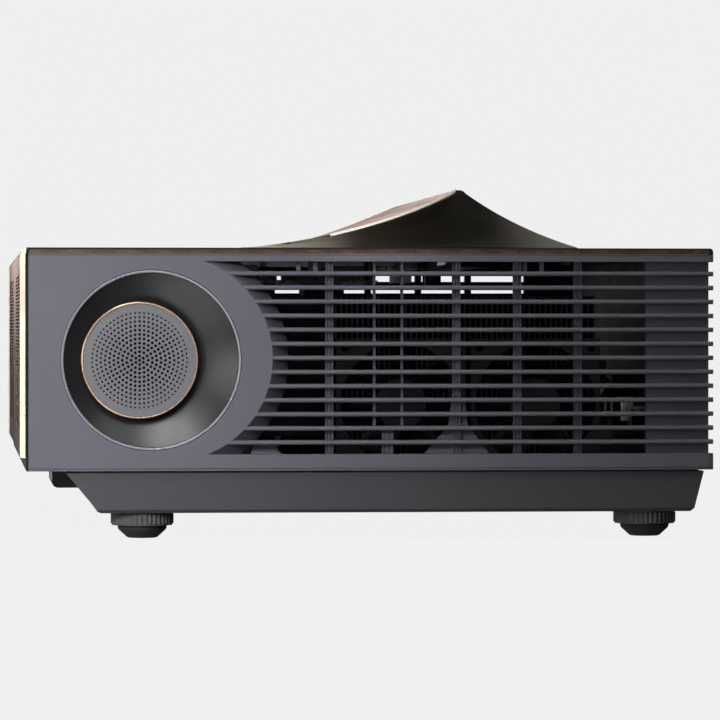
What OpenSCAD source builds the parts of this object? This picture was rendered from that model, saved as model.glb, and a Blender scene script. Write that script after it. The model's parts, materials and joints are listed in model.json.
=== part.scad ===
// Ultra-short-throw home projector: a wide low cabinet with louvred sides, a round speaker
// at the front of each side, a slotted metal front, a timber top with a swept hump, and
// four screw feet. Millimetres, +Z up, -Y is the front, the origin is on the floor.

/* [Cabinet] */
// width across the two side panels
body_w = 540; // [536:1:544]
// depth from the slotted front to the rear corner of the side panels
body_d = 380.8; // [378:0.2:384]
// height of the top surface of the timber deck
deck_z = 159; // [158:0.5:160]
// thickness of the timber deck
deck_t = 3.2; // [3:0.1:3.6]
// height of the ridge of the hump above the floor
ridge_z = 193.5; // [190:0.5:196]

/* [Base] */
// underside of the base tray
tray_z0 = 14.2; // [13.8:0.2:14.6]
// upper edge of the base tray
tray_z1 = 36.6; // [36:0.2:37]
// wall thickness of the base tray
tray_t = 2.6; // [2:0.2:3]
// distance of each foot from the side of the cabinet
foot_inset = 30; // [28:1:34]
// diameter of the knurled foot wheel
foot_d = 35; // [32:1:36]
// thread radius of the foot stud
stud_r = 4; // [3.5:0.5:4.5]

/* [Louvres] */
// number of louvre blades in each side
blade_n = 13; // [11:1:13]
// distance from one blade to the next
blade_pitch = 7.69; // [7.4:0.01:7.7]
// thickness of one blade
blade_t = 2.5; // [1.6:0.1:2.6]
// depth of the side panel moulding
panel_t = 12; // [11:1:12]

/* [Speakers] */
// radius of the round recess in the side panel
recess_r = 49.3; // [48.5:0.1:50]
// outer radius of the raised round grille
disc_r = 32.2; // [31:0.1:33]
// number of hole rings around the centre hole
hole_rings = 11; // [8:1:11]
// distance from one ring of holes to the next
hole_pitch = 2.35; // [2.2:0.01:2.35]

/* [Front] */
// number of slots in each column of the front grille
slot_n = 43; // [30:1:43]
// distance from one slot to the next
slot_pitch = 2; // [1.9:0.05:2]
// height of one slot
slot_h = 1; // [0.8:0.1:1.2]

/* [Fans] */
// outside width of a fan frame
fan_w = 72; // [70:1:73]
// thickness of a fan frame
fan_t = 15; // [15:1:16]
// number of blades on a rotor
fan_blades = 7; // [5:1:9]

/* [Hidden] */
$fn = 64;

hw = body_w / 2;
yf = -body_d / 2;
yr = body_d / 2;
deck_z0 = deck_z - deck_t;
panel_y0 = yf + 4.6;
panel_x = hw - panel_t;
panel_z0 = tray_z1 + 0.8;
win_z0 = 46.3;
win_z1 = deck_z0 - 4.2;
blade_top = win_z1 - 6.6;
spk_y = yf + 71.3;
spk_z = 97.7;
disc_y = spk_y - 6.2;
cone_y = yf + 81.4;
cone_z = 98.6;
foot_x = hw - foot_inset;
foot_yf = yf + 67.5;
foot_yr = yr - 34;
grille_x = hw - 3.1;
hdmi_x = [52, 77, 102];
lan_x = 129;
usb_x = 154;
usb_z = [60, 72];
audio_x = 178;
button_x = -100;
fan_y = [19.3, 93.9];
fan_z = 73.5;
fan_x = 251;
fan_r = fan_w / 2 - 2.5;

// hump outline, front slope as one arc and rear edge as another
hump_y0 = -70;
trim_y = -21;
ridge_y = 57;
hump_y1 = 114.7;
slope_r = 366;
rear_r = 174;

function arc_mid(a, b) = (a + b) / 2;
function arc_rise(a, b, r) = sqrt(r * r - pow(norm(b - a) / 2, 2));
function arc_up(a, b) = [-(b - a)[1], (b - a)[0]] / norm(b - a);
function arc_c(a, b, r) = arc_mid(a, b) + arc_up(a, b) * arc_rise(a, b, r);

slope_c = arc_c([hump_y0, deck_z], [ridge_y, ridge_z], slope_r);
rear_c = arc_c([ridge_y + 3, ridge_z], [hump_y1, deck_z + 0.3], rear_r);

function slope_at(y) = slope_c[1] - sqrt(slope_r * slope_r - pow(y - slope_c[0], 2));
function rear_at(y) = rear_c[1] - sqrt(rear_r * rear_r - pow(y - rear_c[0], 2));
function crest_z(y) = y < ridge_y ? slope_at(y) : y < ridge_y + 3 ? ridge_z : rear_at(y);
function hump_s(y) = (y - hump_y0) / (58 - hump_y0);
function side_in(y) = 88 * (0.6 * pow(hump_s(y), 6) + 0.4 * pow(hump_s(y), 2));
function rear_in(y) = 88 * (1 - (y - 58) / (hump_y1 - 58));
function crest_turn(y) = 88 * (3.6 * pow(hump_s(y), 5) + 0.8 * hump_s(y)) / 128;
function crest_lean(y) = sqrt(1 + pow(crest_turn(y), 2));
function crest_x(y) = hw - max(1.4, y < 58 ? side_in(y) : rear_in(y));

front_ys = [for (i = [0:32]) hump_y0 + (58 - hump_y0) * i / 32];
rear_ys = [for (i = [1:14]) 58 + (hump_y1 - 58) * i / 14];
wing_ys = concat(front_ys, rear_ys);

// ---------- helpers ----------

module box(x0, x1, y0, y1, z0, z1) {
    translate([x0, y0, z0])
        cube([x1 - x0, y1 - y0, z1 - z0]);
}

// a flat shape drawn in Y and Z, pushed along X
module yz(x0, x1) {
    translate([x0, 0, 0])
        rotate([90, 0, 90])
            linear_extrude(x1 - x0)
                children();
}

// a flat shape drawn in X and Z, pushed along Y
module xz(y0, y1) {
    translate([0, y1, 0])
        rotate([90, 0, 0])
            linear_extrude(y1 - y0)
                children();
}

module rod_x(r, x0, x1, y, z) {
    translate([x0, y, z])
        rotate([0, 90, 0])
            cylinder(r = r, h = x1 - x0);
}

module rod_y(r, y0, y1, x, z) {
    translate([x, y1, z])
        rotate([90, 0, 0])
            cylinder(r = r, h = y1 - y0);
}

module rod_z(r, z0, z1, x, y) {
    translate([x, y, z0])
        cylinder(r = r, h = z1 - z0);
}

module other_side() {
    mirror([1, 0, 0])
        children();
}

module both_sides() {
    children();
    other_side()
        children();
}

// ---------- base ----------

module tray_form(g, top) {
    intersection() {
        yz(-hw, hw)
            polygon([
                [yf + 25.2 + g, top],
                [yf + 25.3 + g, tray_z1 - 0.6],
                [yf + 41.2 + g, tray_z0 + g + 2.6],
                [yf + 42.3 + g, tray_z0 + g + 0.8],
                [yf + 44.2 + g, tray_z0 + g],
                [yr - 11.6 - g, tray_z0 + g],
                [yr - 9.6 - g, tray_z0 + g + 1.8],
                [yr - 5.1 - g, tray_z1 - 0.6],
                [yr - 5.1 - g, top],
            ]);
        xz(yf, yr)
            polygon([
                [-hw + 4 + g, top],
                [-hw + 4 + g, tray_z1 - 1],
                [-hw + 7.4 + g, tray_z0 + g + 1.8],
                [-hw + 9.4 + g, tray_z0 + g],
                [hw - 9.4 - g, tray_z0 + g],
                [hw - 7.4 - g, tray_z0 + g + 1.8],
                [hw - 4 - g, tray_z1 - 1],
                [hw - 4 - g, top],
            ]);
    }
}

module at_feet() {
    for (x = [-foot_x, foot_x])
        for (y = [foot_yf, foot_yr])
            translate([x, y, 0])
                children();
}

module at_screws() {
    for (x = [-205, 0, 205])
        for (y = [-132, 150])
            translate([x, y, 0])
                children();
}

module base_tray() {
    color([0.16, 0.16, 0.17])
        difference() {
            union() {
                difference() {
                    tray_form(0, tray_z1);
                    tray_form(tray_t, tray_z1 + 1);
                }
                // locating wall inside the panels
                difference() {
                    box(-panel_x + 0.3, panel_x - 0.3, yf + 28.7, yr - 8, 32, 42);
                    box(-panel_x + 2.8, panel_x - 2.8, yf + 31.2, yr - 10.5, 31, 43);
                }
                both_sides()
                    box(panel_x - 2.8, hw - 6, yf + 28.7, yr - 8, 32, 34.5);
                box(-panel_x + 0.3, panel_x - 0.3, yr - 10.5, yr - 7, 32, 34.5);
                at_feet()
                    cylinder(r = 9, h = 34);
                at_screws()
                    cylinder(r = 5, h = 30);
            }
            box(-hw, hw, yf, yr, -1, tray_z0);
            at_feet()
                translate([0, 0, -1])
                    cylinder(r = stud_r + 0.05, h = 40);
            at_screws()
                translate([0, 0, -1])
                    cylinder(r = 1.55, h = 40);
            at_screws()
                translate([0, 0, -1])
                    cylinder(r = 3.4, h = tray_z0 + 3.0);
            // intake slots on both sides of the engine
            for (s = [-1, 1])
                for (i = [0:7])
                    box(s * (52 + i * 13) - 3, s * (52 + i * 13) + 3, -45, 25, 10, 20);
        }
}

module foot_wheel() {
    color([0.05, 0.05, 0.05])
        difference() {
            union() {
                translate([0, 0, 7])
                    cylinder(r = foot_d / 2 - 0.9, h = tray_z0 - 7.2);
                translate([0, 0, 7.8])
                    cylinder(r = foot_d / 2 - 0.2, h = tray_z0 - 8.8);
                cylinder(r = stud_r, h = 31);
            }
            // finger grip round the rim
            for (a = [0:9:351])
                rotate([0, 0, a])
                    translate([foot_d / 2 + 0.3, 0, 6])
                        cylinder(r = 1.1, h = 10, $fn = 24);
            translate([0, 0, -1])
                cylinder(r = 14, h = 8);
            translate([0, 0, -1])
                cylinder(r = 3.05, h = 11.5);
        }
}

module foot_pad() {
    color([0.03, 0.03, 0.03])
        union() {
            rotate_extrude()
                polygon([
                    [0, 0], [7.4, 0], [8.5, 0.4], [13, 4.5], [13.5, 5.6], [13.5, 6.9], [0, 6.9],
                ]);
            cylinder(r = 3, h = 10.3);
        }
}

module foot_at(sx, y) {
    translate([sx * foot_x, y, 0])
        children();
}

module foot_wheel_front_right() { foot_at(1, foot_yf) foot_wheel(); }
module foot_wheel_front_left() { foot_at(-1, foot_yf) foot_wheel(); }
module foot_wheel_rear_right() { foot_at(1, foot_yr) foot_wheel(); }
module foot_wheel_rear_left() { foot_at(-1, foot_yr) foot_wheel(); }
module foot_pad_front_right() { foot_at(1, foot_yf) foot_pad(); }
module foot_pad_front_left() { foot_at(-1, foot_yf) foot_pad(); }
module foot_pad_rear_right() { foot_at(1, foot_yr) foot_pad(); }
module foot_pad_rear_left() { foot_at(-1, foot_yr) foot_pad(); }

module screws() {
    color([0.25, 0.25, 0.26])
        at_screws()
            difference() {
                union() {
                    translate([0, 0, tray_z0 + 0.4])
                        cylinder(r = 3, h = 1.6);
                    translate([0, 0, tray_z0 + 1])
                        cylinder(r = 1.5, h = 12);
                }
                translate([0, 0, tray_z0])
                    cylinder(r = 1.4, h = 1.4, $fn = 6);
            }
}

// ---------- side panels ----------

module cone_x(x0, x1) {
    k = 9.5 / 12;
    translate([x0, cone_y, cone_z])
        rotate([0, 90, 0])
            cylinder(r1 = 56 + k * (hw - x0), r2 = 56 + k * (hw - x1), h = x1 - x0, $fn = 96);
}

module blade(z) {
    translate([0, 0, z])
        xz(cone_y, yr)
            polygon([
                [panel_x, -blade_t / 2],
                [hw - 1.1, -blade_t / 2],
                [hw - 0.4, -blade_t / 2 + 0.3],
                [hw, -blade_t / 2 + 0.75],
                [hw, blade_t / 2 - 0.75],
                [hw - 0.4, blade_t / 2 - 0.3],
                [hw - 1.1, blade_t / 2],
                [panel_x, blade_t / 2],
            ]);
}

module ribbed_upright(y, w, z0, z1) {
    box(panel_x + 0.5, hw - 7.4, y - w / 2, y + w / 2, z0, z1);
    for (d = [-w / 2 + 0.4, 0, w / 2 - 0.4])
        box(hw - 7.5, hw - 6.2, y + d - 0.4, y + d + 0.4, z0, z1);
}

module panel_outline() {
    polygon([
        [panel_x - 1, panel_y0],
        [hw - 0.8, panel_y0],
        [hw, panel_y0 + 0.8],
        [hw, yr - 2.4],
        [hw - 0.7, yr - 0.7],
        [hw - 2.4, yr],
        [panel_x - 1, yr],
    ]);
}

module side_panel() {
    color([0.33, 0.33, 0.36])
        intersection() {
            difference() {
                union() {
                    difference() {
                        box(panel_x, hw, panel_y0, yr - 2.1, panel_z0, deck_z0);
                        difference() {
                            box(panel_x - 1, hw + 1, cone_y, yr, win_z0, win_z1);
                            cone_x(panel_x - 2, hw + 2);
                            box(panel_x - 2, hw - 6, yr - 36.8, yr + 1, win_z0 - 1, win_z1 + 1);
                        }
                        // hollow behind the flat front part
                        difference() {
                            box(panel_x - 1, hw - 3, panel_y0 + 3, cone_y - 3, 40.1, deck_z0 - 3);
                            rod_x(recess_r + 2.7, panel_x - 2, hw, spk_y, spk_z);
                        }
                    }
                    for (i = [0:blade_n - 1])
                        blade(blade_top - i * blade_pitch);
                    box(panel_x, hw, yr - 2.2, yr, panel_z0, win_z0);
                    box(panel_x, hw, yr - 2.2, yr, win_z1, deck_z0);
                    for (y = [-21.4, 48.6, 82.3, 115.8])
                        ribbed_upright(y, 4.2, win_z0, win_z1);
                    for (y = [3.4, 18.6])
                        box(panel_x + 0.5, hw - 7, y - 0.65, y + 0.65, 60.4, win_z1);
                    ribbed_upright(10.7, 6, win_z0, 60.4);
                    // snap hooks that hold the timber top
                    for (y = [-38.2, -28.9, 86.6, 96])
                        box(panel_x + 1, hw - 8.5, y - 1.2, y + 1.2, win_z1 - 6, win_z1 + 1);
                    // gusset behind the upright between the two fans
                    translate([0, 48.6, 0])
                        yz(panel_x + 0.1, panel_x + 2.6)
                            polygon([
                                [-17.5, win_z0 - 0.1], [18.5, win_z0 - 0.1], [6.5, 62],
                                [5, 75], [-2.5, 75], [-4, 62],
                            ]);
                    // air guide behind the lowest slots
                    yz(panel_x - 4.2, panel_x + 0.5)
                        polygon([[-65, 42], [-62.6, 52], [-51, 52], [-45.5, 42]]);
                }
                rod_x(recess_r, panel_x - 1, hw + 1, spk_y, spk_z, $fn = 96);
                // fine shadow step along the lower edge
                box(hw - 0.5, hw + 1, yf, yr + 1, panel_z0 - 1, 38.8);
                // bevel that meets the timber top
                xz(yf, yr + 1)
                    polygon([[hw - 1, deck_z0 + 0.01], [hw + 1, deck_z0 - 1.99], [hw + 1, deck_z0 + 0.01]]);
            }
            translate([0, 0, 30])
                linear_extrude(140)
                    panel_outline();
        }
}

module right_side_panel() { side_panel(); }
module left_side_panel() { other_side() side_panel(); }

// ---------- speakers ----------

module speaker_bezels() {
    color([0.75, 0.76, 0.78])
        both_sides()
            translate([hw - 4, spk_y, spk_z])
                rotate([0, 90, 0])
                    rotate_extrude($fn = 96)
                        polygon([
                            [47.7, 0], [49.1, 0], [49.1, 3.6], [48.6, 4], [48.1, 3.9], [47.7, 3.5],
                        ]);
}

module speaker_dish() {
    color([0.2, 0.21, 0.22])
        difference() {
            intersection() {
                rod_x(47.5, hw - 18, hw - 0.9, spk_y, spk_z, $fn = 96);
                translate([hw + 87.3, spk_y, spk_z])
                    sphere(r = 103.3, $fn = 128);
            }
            translate([hw + 87.3, spk_y, spk_z])
                sphere(r = 100.8, $fn = 128);
            rod_x(disc_r + 0.1, hw - 30, hw + 1, disc_y, spk_z);
        }
}

module speaker_rims() {
    color([0.72, 0.5, 0.36])
        both_sides()
            translate([hw - 17, disc_y, spk_z])
                rotate([0, 90, 0])
                    rotate_extrude($fn = 96)
                        polygon([
                            [disc_r - 3.2, 0], [disc_r, 0], [disc_r, 13.3], [disc_r - 0.3, 13.8],
                            [disc_r - 0.8, 14.1], [disc_r - 1.2, 14.1], [disc_r - 1.2, 11.8],
                            [disc_r - 3.2, 11.8],
                        ]);
}

module speaker_grille() {
    color([0.5, 0.5, 0.51])
        translate([hw - 5.2, disc_y, spk_z])
            rotate([0, 90, 0])
                linear_extrude(1.5)
                    difference() {
                        circle(r = disc_r - 1.25, $fn = 96);
                        circle(r = 0.85, $fn = 16);
                        for (k = [1:hole_rings])
                            for (a = [0:6 * k - 1])
                                rotate(a * 60 / k)
                                    translate([k * hole_pitch, 0])
                                        circle(r = 0.86 - 0.0026 * k * k, $fn = 16);
                    }
}

module speaker_driver() {
    color([0.1, 0.1, 0.11])
        translate([0, disc_y, spk_z])
            rotate([0, 90, 0])
                translate([0, 0, hw - 57.6])
                    rotate_extrude()
                        polygon([
                            [0, 0], [26, 0], [26, 16], [16, 16], [16, 20], [34, 36], [38.5, 36],
                            [38.5, 38.5], [31, 38.5], [29, 37.4], [26, 38.4], [24, 37],
                            [12, 29], [6, 31], [0, 32.5],
                        ]);
}

module speaker_box() {
    color([0.06, 0.06, 0.06])
        difference() {
            box(199, hw - 16.5, -180, -60, 44, 150);
            box(201.6, hw - 19.1, -177.4, -62.6, 46.6, 147.4);
            rod_x(36.5, hw - 30, hw - 10, disc_y, spk_z);
        }
}

module speaker_dish_right() { speaker_dish(); }
module speaker_dish_left() { other_side() speaker_dish(); }
module speaker_grille_right() { speaker_grille(); }
module speaker_grille_left() { other_side() speaker_grille(); }
module speaker_driver_right() { speaker_driver(); }
module speaker_driver_left() { other_side() speaker_driver(); }
module speaker_box_right() { speaker_box(); }
module speaker_box_left() { other_side() speaker_box(); }

// ---------- top ----------

module deck_outline() {
    polygon([
        [-hw, yf + 0.7], [hw, yf + 0.7], [hw, yr - 2.4], [hw - 0.7, yr - 0.7], [hw - 2.4, yr],
        [-hw + 2.4, yr], [-hw + 0.7, yr - 0.7], [-hw, yr - 2.4],
    ]);
}

module scoop_outline(g) {
    polygon([
        [-hw + 85.4 + g, 60 + g], [hw - 85.4 - g, 60 + g],
        [hw - 4.2 - 2 * g, 112.5 - g], [-hw + 4.2 + 2 * g, 112.5 - g],
    ]);
}

module top_deck() {
    color([0.2, 0.11, 0.08])
        difference() {
            translate([0, 0, deck_z0])
                linear_extrude(deck_t)
                    deck_outline();
            translate([0, 0, deck_z0 - 1])
                linear_extrude(deck_t + 2)
                    scoop_outline(0);
            box(-100, 100, 26, 61, deck_z0 - 1, deck_z + 1);
            // bevel of the front edge
            yz(-hw - 1, hw + 1)
                polygon([
                    [yf - 1, deck_z - 2.2], [yf + 0.8, deck_z - 2.2], [yf + 2.8, deck_z + 0.1],
                    [yf + 2.8, deck_z + 1], [yf - 1, deck_z + 1],
                ]);
            // rounded rear edge
            yz(-hw - 1, hw + 1)
                polygon([
                    [yr + 1, deck_z - 2], [yr - 0.1, deck_z - 2], [yr - 0.6, deck_z - 0.8],
                    [yr - 1.9, deck_z + 0.1], [yr - 1.9, deck_z + 1], [yr + 1, deck_z + 1],
                ]);
            // narrow shadow step under the top face on both sides
            both_sides()
                box(hw - 0.4, hw + 1, yf, yr + 1, deck_z - 0.9, deck_z + 1);
        }
}

module slope_band(t0, t1) {
    yz(-hw, hw)
        intersection() {
            difference() {
                translate([slope_c[0], slope_c[1]])
                    circle(r = slope_r + t1, $fn = 720);
                translate([slope_c[0], slope_c[1]])
                    circle(r = slope_r + t0, $fn = 720);
            }
            translate([hump_y0, deck_z])
                square([ridge_y + 0.2 - hump_y0, 60]);
        }
}

// outline of the front slope seen from above, g mm inside the crest line
module hump_plan(g) {
    right = [for (y = front_ys) [crest_x(y) - g * crest_lean(y), y]];
    left = [for (i = [len(right) - 1:-1:0]) [-right[i][0], right[i][1]]];
    polygon(concat(right, left));
}

module hump_slope() {
    color([0.3, 0.17, 0.12])
        intersection() {
            slope_band(0, 3);
            translate([0, 0, deck_z - 1])
                linear_extrude(60)
                    union() {
                        hump_plan(1.6);
                        intersection() {
                            hump_plan(0.1);
                            translate([-hw, hump_y0])
                                square([body_w, trim_y - hump_y0 - 0.1]);
                        }
                    }
        }
}

module hump_trims() {
    color([0.85, 0.7, 0.48])
        intersection() {
            slope_band(-0.35, 4);
            translate([0, 0, deck_z - 1])
                linear_extrude(60)
                    intersection() {
                        difference() {
                            hump_plan(0.1);
                            hump_plan(1.5);
                        }
                        translate([-hw, trim_y])
                            square([body_w, 100]);
                    }
        }
}

module hump_wing() {
    n = len(wing_ys) - 1;
    m = 10;
    w = m + 1;
    top = [for (y = wing_ys) for (j = [0:m]) [
        crest_x(y) + (hw - crest_x(y)) * j / m,
        y,
        deck_z + 0.5 + (max(crest_z(y), deck_z + 0.7) - deck_z - 0.5) * pow(1 - j / m, 1.7),
    ]];
    low = [for (y = wing_ys) for (x = [crest_x(y), hw]) [x, y, deck_z]];
    b = len(top);
    skin = [for (i = [0:n - 1]) for (j = [0:m - 1]) each [
        [i * w + j, (i + 1) * w + j, (i + 1) * w + j + 1],
        [i * w + j, (i + 1) * w + j + 1, i * w + j + 1],
    ]];
    rest = [for (i = [0:n - 1]) each [
        [b + 2 * i, b + 2 * i + 1, b + 2 * i + 3],
        [b + 2 * i, b + 2 * i + 3, b + 2 * i + 2],
        [i * w, b + 2 * i, b + 2 * i + 2],
        [i * w, b + 2 * i + 2, (i + 1) * w],
        [i * w + m, (i + 1) * w + m, b + 2 * i + 3],
        [i * w + m, b + 2 * i + 3, b + 2 * i + 1],
    ]];
    caps = [
        concat([for (j = [0:m]) j], [b + 1, b]),
        concat([for (j = [m:-1:0]) n * w + j], [b + 2 * n, b + 2 * n + 1]),
    ];
    color([0.07, 0.06, 0.05])
        polyhedron(points = concat(top, low), faces = concat(skin, rest, caps), convexity = 6);
}

module hump_wing_right() { hump_wing(); }
module hump_wing_left() { other_side() hump_wing(); }

// the leaning wall behind the ridge, t mm thick, starting d mm behind its outer face
module leaning(d, t) {
    polygon([
        [61.6 - d, 192.8], [83.6 - d, 150.6], [83.6 - d - t, 150.6], [61.6 - d - t, 192.8],
    ]);
}

module lens_scoop() {
    color([0.04, 0.04, 0.04])
        intersection() {
            difference() {
                union() {
                    difference() {
                        translate([0, 0, 150])
                            linear_extrude(deck_z - 150)
                                scoop_outline(0.2);
                        translate([0, 0, 152.4])
                            linear_extrude(deck_z)
                                scoop_outline(2.6);
                        box(-180, 180, 50, 78.6, 149, 170);
                    }
                    yz(-hw, hw)
                        leaning(0, 3.2);
                    yz(-hw + 89, hw - 89)
                        polygon([[57.5, 190.5], [62.7, 190.5], [61.4, 193], [60.4, 193.5], [57.5, 193.5]]);
                    // boss under the scoop floor
                    box(-116, -104, 71, 80.5, 140.5, 150.4);
                }
                both_sides()
                    box(panel_x - 0.3, hw, 50, 120, 149, deck_z0 + 0.1);
                yz(-112, 112)
                    polygon([[50, 188.5], [70, 188.5], [90, 154.5], [60, 154.5]]);
            }
            translate([0, 0, 140])
                linear_extrude(60)
                    polygon([
                        [-hw + 88.6, 57.4], [hw - 88.6, 57.4], [hw - 85.8, 60.6], [hw - 5, 112.4],
                        [-hw + 5, 112.4], [-hw + 85.8, 60.6],
                    ]);
        }
}

module window_glass() {
    color([0.1, 0.12, 0.14, 0.5])
        intersection() {
            yz(-111.9, 111.9)
                leaning(0.5, 2.2);
            box(-120, 120, 50, 100, 154.6, 188.4);
        }
}

// ---------- front ----------

module front_grille() {
    color([0.55, 0.42, 0.36])
        difference() {
            yz(-grille_x, grille_x)
                polygon([
                    [yf + 3, 44.7], [yf + 0.9, 44.7], [yf + 0.6, 45],
                    [yf + 0.6, deck_z0 - 0.2], [yf + 3, deck_z0 - 0.2],
                ]);
            xz(yf - 1, yf + 4)
                for (i = [0:slot_n - 1])
                    for (x = [-250, 50])
                        translate([x, 59.5 + i * slot_pitch])
                            square([200, slot_h]);
        }
}

module front_trims() {
    color([0.88, 0.76, 0.55])
        both_sides()
            yz(grille_x + 0.1, hw)
                polygon([
                    [yf + 3, 44.7], [yf + 0.6, 44.7], [yf, 45.6],
                    [yf, deck_z0 - 0.8], [yf + 0.6, deck_z0 - 0.2], [yf + 3, deck_z0 - 0.2],
                ]);
}

module front_frame() {
    color([0.09, 0.09, 0.1])
        union() {
            box(-panel_x + 0.2, panel_x - 0.2, yf + 3, yf + 6, 44.7, deck_z0);
            box(-hw + 2, hw - 2, yf + 3, yf + 4.4, 44.7, deck_z0);
            yz(-hw + 1.2, hw - 1.2)
                polygon([[yf + 4.4, 44.7], [yf + 3.2, 44.7], [yf + 3.2, 38], [yf + 4.4, 37]]);
            box(-panel_x + 0.2, panel_x - 0.2, yf + 4.4, yf + 26.9, 37, 39.6);
            box(-panel_x + 0.2, panel_x - 0.2, yf + 4.4, yf + 7, 39.6, 44.7);
        }
}

module front_plate() {
    color([0.6, 0.47, 0.4])
        xz(yf, yf + 0.6)
            translate([-22, 95.8])
                square([44, 8.5]);
}

module sensor_pod() {
    color([0.06, 0.06, 0.07])
        difference() {
            intersection() {
                yz(-48, 48)
                    polygon([
                        [yf + 22.2, 36.5], [yf + 22.2, 23.4], [yf + 23.1, 21.3], [yf + 25.2, 20.4],
                        [yf + 38.1, 20.4], [yf + 25.15, 36], [yf + 25.1, 36.5],
                    ]);
                xz(yf, 0)
                    polygon([
                        [-48, 36.5], [-48, 23.4], [-47.1, 21.3], [-45, 20.4],
                        [45, 20.4], [47.1, 21.3], [48, 23.4], [48, 36.5],
                    ]);
            }
            box(-36, 36, yf + 21, yf + 23.8, 23.5, 30.5);
        }
}

module sensor_window() {
    color([0.1, 0.02, 0.03, 0.6])
        box(-35.9, 35.9, yf + 22.3, yf + 23.8, 23.6, 30.4);
}

// ---------- rear ----------

module rear_panel() {
    color([0.09, 0.09, 0.1])
        difference() {
            union() {
                box(-panel_x + 0.2, panel_x - 0.2, yr - 6, yr - 3, panel_z0, deck_z0);
                // socket bay
                box(30, 200, yr - 20.6, yr - 5, 48, 90);
                // cup behind the power button
                rod_y(11, yr - 14, yr - 5, button_x, 69);
            }
            rod_y(9, yr - 12, yr - 5.9, button_x, 69);
            box(32.5, 197.5, yr - 18.1, yr - 2, 50.5, 87.5);
            for (x = hdmi_x)
                box(x - 8.2, x + 8.2, yr - 22, yr - 17, 64.9, 72.1);
            for (z = usb_z)
                box(usb_x - 7.2, usb_x + 7.2, yr - 22, yr - 17, z - 3.6, z + 3.6);
            box(lan_x - 8.6, lan_x + 8.6, yr - 22, yr - 17, 61.4, 75.6);
            rod_y(4.1, yr - 22, yr - 17, audio_x, 62);
            box(audio_x - 5.1, audio_x + 5.1, yr - 22, yr - 17, 70.9, 81.1);
            box(-164.2, -135.8, yr - 7, yr - 2, 57.8, 80.2);
            rod_y(6.4, yr - 7, yr - 2, button_x, 69);
            // blind decorative grooves
            for (i = [0:12])
                for (x = [-230, -115, 15, 130])
                    box(x, x + 100, yr - 4, yr - 2, 100 + i * 3.6, 101.8 + i * 3.6);
        }
}

module open_shell(x, z, w, h, t, d) {
    difference() {
        box(x - w / 2, x + w / 2, yr - 17.6 - d, yr - 17.6, z - h / 2, z + h / 2);
        box(x - w / 2 + t, x + w / 2 - t, yr - 16.1 - d, yr - 17, z - h / 2 + t, z + h / 2 - t);
    }
}

module hdmi_sockets() {
    color([0.7, 0.7, 0.72])
        for (x = hdmi_x) {
            open_shell(x, 68.5, 16.2, 7, 0.6, 12);
            box(x - 5.5, x + 5.5, yr - 29, yr - 19.6, 67.9, 69.1);
        }
}

module usb_sockets() {
    color([0.7, 0.7, 0.72])
        for (z = usb_z) {
            open_shell(usb_x, z, 14.2, 7, 0.6, 12);
            box(usb_x - 5.6, usb_x + 5.6, yr - 29, yr - 19.6, z + 0.4, z + 2.2);
        }
}

module lan_socket() {
    color([0.68, 0.68, 0.7])
        open_shell(lan_x, 68.5, 17, 14, 1.6, 14);
}

module audio_sockets() {
    color([0.08, 0.08, 0.08])
        union() {
            difference() {
                rod_y(4, yr - 31, yr - 17.4, audio_x, 62);
                rod_y(1.8, yr - 29, yr - 17, audio_x, 62, $fn = 32);
            }
            open_shell(audio_x, 76, 10, 10, 2.2, 12);
        }
}

module power_inlet() {
    color([0.05, 0.05, 0.05])
        union() {
            difference() {
                union() {
                    box(-164, -136, yr - 26, yr - 3, 58, 80);
                    box(-167, -133, yr - 3, yr - 1.6, 55, 83);
                }
                box(-162, -138, yr - 23, yr - 1, 60, 78);
            }
            for (x = [-157, -150, -143])
                box(x - 1, x + 1, yr - 24, yr - 10, x == -150 ? 70 : 64, x == -150 ? 74 : 68);
        }
}

module power_button() {
    color([0.6, 0.6, 0.62])
        union() {
            rod_y(6, yr - 6.5, yr - 1.5, button_x, 69);
            rod_y(8, yr - 8.6, yr - 6.1, button_x, 69);
        }
}

// ---------- cooling ----------

module fan_frame(y) {
    x0 = fan_x - fan_t;
    translate([0, y, fan_z])
        difference() {
            union() {
                difference() {
                    box(x0, fan_x, -fan_w / 2, fan_w / 2, -fan_w / 2, fan_w / 2);
                    rod_x(fan_r, x0 - 1, fan_x + 1, 0, 0);
                }
                rod_x(14, x0, x0 + 2, 0, 0);
                for (a = [45, 135, 225, 315])
                    rotate([a, 0, 0])
                        box(x0, x0 + 2, 12, fan_r + 1, -2, 2);
                rod_x(2, x0 + 1, fan_x - 4, 0, 0);
            }
            for (a = [-1, 1])
                for (b = [-1, 1])
                    rod_x(2.2, x0 - 1, fan_x + 1, a * (fan_w / 2 - 5), b * (fan_w / 2 - 5));
        }
}

module fan_frames() {
    color([0.08, 0.08, 0.09])
        both_sides()
            for (y = fan_y)
                fan_frame(y);
}

module fan_rotor(y) {
    x0 = fan_x - fan_t + 2.5;
    color([0.11, 0.11, 0.12])
        translate([0, y, fan_z])
            difference() {
                union() {
                    rod_x(14, x0, fan_x - 1, 0, 0);
                    intersection() {
                        for (a = [0:fan_blades - 1])
                            rotate([a * 360 / fan_blades, 0, 0])
                                translate([(x0 + fan_x - 1) / 2, 0, 12])
                                    rotate([0, 0, 38])
                                        translate([-0.8, -8.6, 0])
                                            cube([1.6, 17.2, 30]);
                        rod_x(fan_r - 1.4, x0, fan_x - 1, 0, 0);
                    }
                }
                rod_x(2.05, x0 - 1, fan_x - 3.5, 0, 0);
            }
}

module fan_rotor_right_front() { fan_rotor(fan_y[0]); }
module fan_rotor_right_rear() { fan_rotor(fan_y[1]); }
module fan_rotor_left_front() { other_side() fan_rotor(fan_y[0]); }
module fan_rotor_left_rear() { other_side() fan_rotor(fan_y[1]); }

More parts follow.
